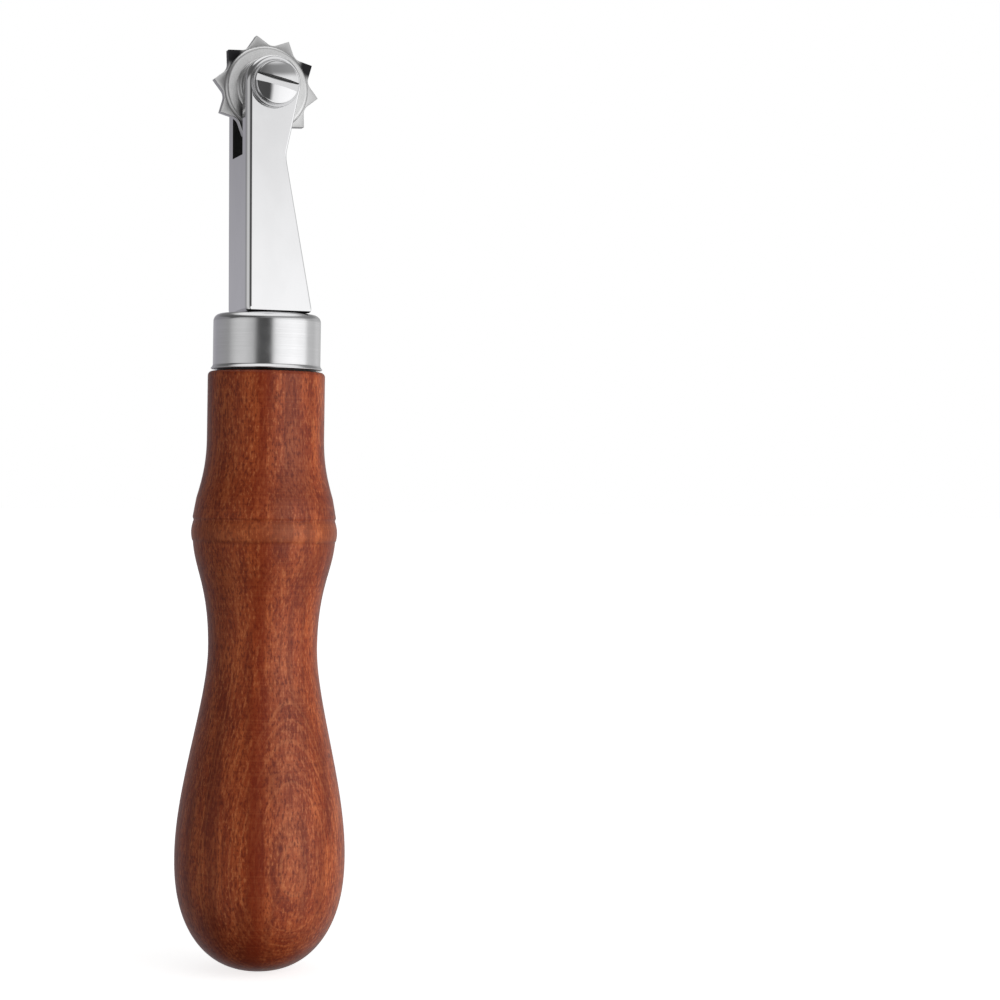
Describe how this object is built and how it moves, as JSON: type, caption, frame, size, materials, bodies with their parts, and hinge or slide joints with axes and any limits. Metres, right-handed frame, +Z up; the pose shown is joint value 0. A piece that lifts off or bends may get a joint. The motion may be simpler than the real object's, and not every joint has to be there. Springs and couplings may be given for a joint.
{
  "type": "tracing wheel",
  "caption": "Toothed marking wheel turning between the prongs of a metal fork, held by a slotted screw, on a turned wooden handle with a metal ferrule.",
  "frame": {"origin": "on the handle's axis at its waist, where the fingers hold it", "axes": "+Z up the handle towards the wheel, the wheel's axle along Y with the screw's head on the -Y side, +X across the fork"},
  "size_m": [0.0256, 0.0256, 0.141],
  "materials": {
    "stained_wood": "red-brown stained hardwood under satin lacquer",
    "ferrule_steel": "turned and satin polished, with a bright bottom rim",
    "fork_nickel": "bright nickel plate",
    "wheel_steel": "fine matt, with two heat-darkened teeth",
    "screw_nickel": "polished",
    "washer_steel": "spring steel, plated",
    "plain_steel": "turned, uncoated"
  },
  "bodies": {
    "tool_body": {"handle": "stained_wood", "ferrule": "ferrule_steel", "tang_stud": "plain_steel", "fork": "fork_nickel", "axle_sleeve": "plain_steel"},
    "wheel": {"wheel": "wheel_steel"},
    "screw_carrier": {"lock_washer": "washer_steel"},
    "pivot_screw": {"pivot_screw": "screw_nickel"}
  },
  "joints": [
    {"name": "wheel_spin", "type": "hinge", "parent": "tool_body", "child": "wheel", "pos_m": [-0.00082, 0, 0.0844], "axis": [0, 1, 0], "continuous": true},
    {"name": "screw_travel", "type": "slide", "parent": "tool_body", "child": "screw_carrier", "axis": [0, -1, 0], "range_m": [0, 0.0133]},
    {"name": "screw_turn", "type": "hinge", "parent": "screw_carrier", "child": "pivot_screw", "pos_m": [-0.00082, -0.0057, 0.0844], "axis": [0, -1, 0], "range_deg": [0, 6840]}
  ],
  "couplings": [
    {"joint": "screw_turn", "follows": "screw_travel", "rad_per_m": 8975.9}
  ]
}
